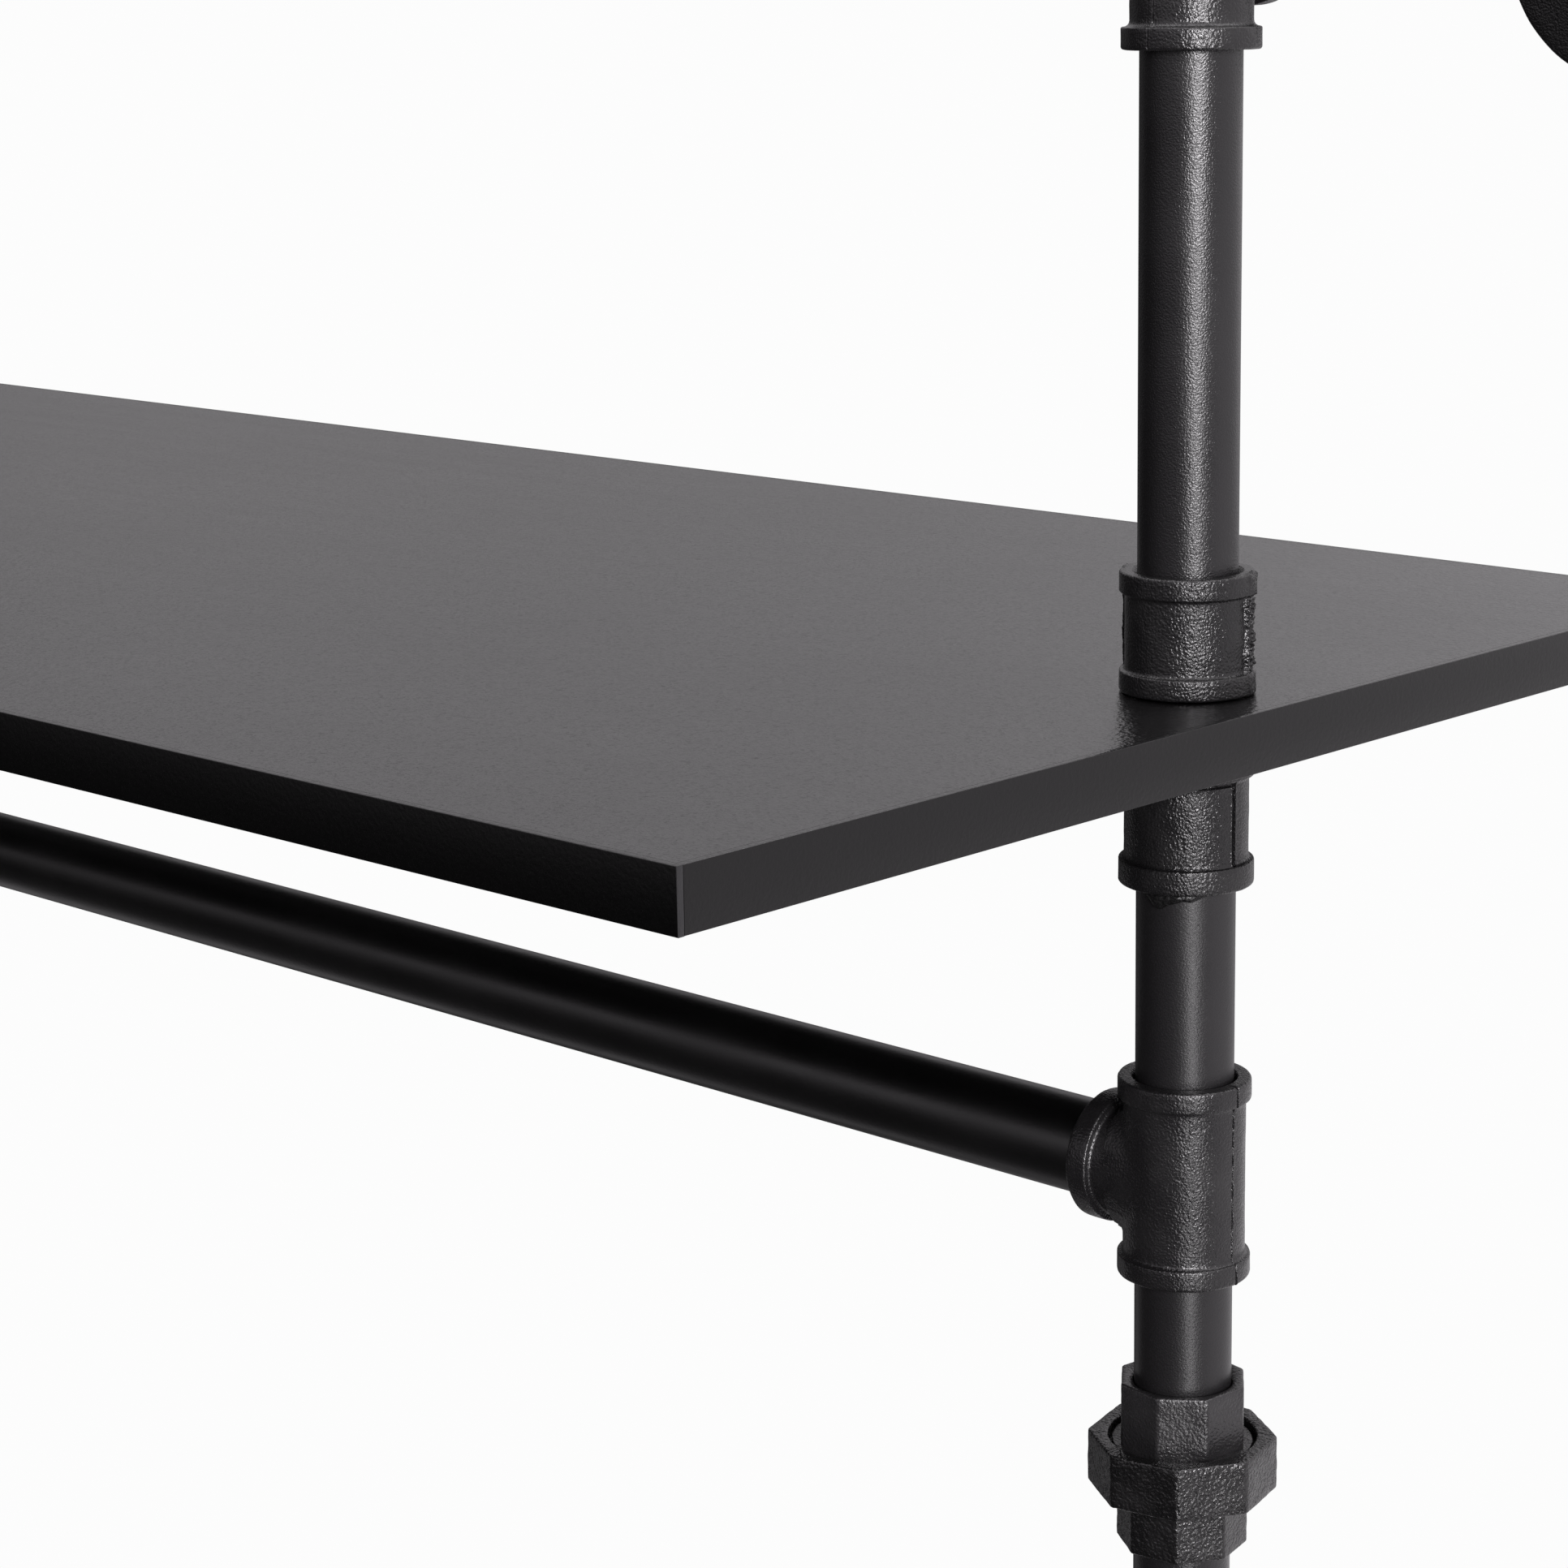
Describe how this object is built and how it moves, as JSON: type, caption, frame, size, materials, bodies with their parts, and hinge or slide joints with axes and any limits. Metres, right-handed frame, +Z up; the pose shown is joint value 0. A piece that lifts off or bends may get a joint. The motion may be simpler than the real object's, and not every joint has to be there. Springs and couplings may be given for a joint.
{
  "type": "freestanding closet system",
  "caption": "Industrial pipe closet: flanged floor posts with screwed cast fittings carry a laminated shelf and a hanging rod, with arms above that reach back to the wall.",
  "frame": {"origin": "on the floor, midway between the posts, in the plane of the posts", "axes": "+Z up, +Y towards the wall, +X along the shelf towards the right post"},
  "size_m": [1.3342, 0.44, 1.9935],
  "materials": {
    "pipe": "black satin powder coat with a fine grain",
    "cast_fitting": "black coated casting with an orange-peel skin",
    "shelf_laminate": "particle board faced with fine-grained black laminate",
    "edge_band": "matt black edge banding"
  },
  "bodies": {
    "frame": {"right_floor_flange": "cast_fitting", "right_riser_pipe": "pipe", "right_union_socket": "cast_fitting", "right_union_tail": "cast_fitting", "right_link_nipple": "pipe", "right_tee": "cast_fitting", "right_hanger_nipple": "pipe", "right_lower_coupling": "cast_fitting", "right_shelf_nipple": "pipe", "right_upper_coupling": "cast_fitting", "right_upper_pipe": "pipe", "right_elbow": "cast_fitting", "right_wall_arm": "pipe", "right_wall_flange": "cast_fitting", "left_floor_flange": "cast_fitting", "left_riser_pipe": "pipe", "left_union_socket": "cast_fitting", "left_union_tail": "cast_fitting", "left_link_nipple": "pipe", "left_tee": "cast_fitting", "left_hanger_nipple": "pipe", "left_lower_coupling": "cast_fitting", "left_shelf_nipple": "pipe", "left_upper_coupling": "cast_fitting", "left_upper_pipe": "pipe", "left_elbow": "cast_fitting", "left_wall_arm": "pipe", "left_wall_flange": "cast_fitting", "hanging_rod": "pipe", "shelf_board": "shelf_laminate", "front_edge_band": "edge_band", "back_edge_band": "edge_band", "left_edge_band": "edge_band", "right_edge_band": "edge_band"},
    "right_nut": {"right_union_nut": "cast_fitting"},
    "left_nut": {"left_union_nut": "cast_fitting"}
  },
  "joints": [
    {"name": "right_union_nut_turn", "type": "hinge", "parent": "frame", "child": "right_nut", "pos_m": [0.6226, 0, 1.5365], "axis": [0, 0, 1], "range_deg": [0, 45]},
    {"name": "left_union_nut_turn", "type": "hinge", "parent": "frame", "child": "left_nut", "pos_m": [-0.6226, 0, 1.5365], "axis": [0, 0, 1], "range_deg": [0, 45]}
  ]
}
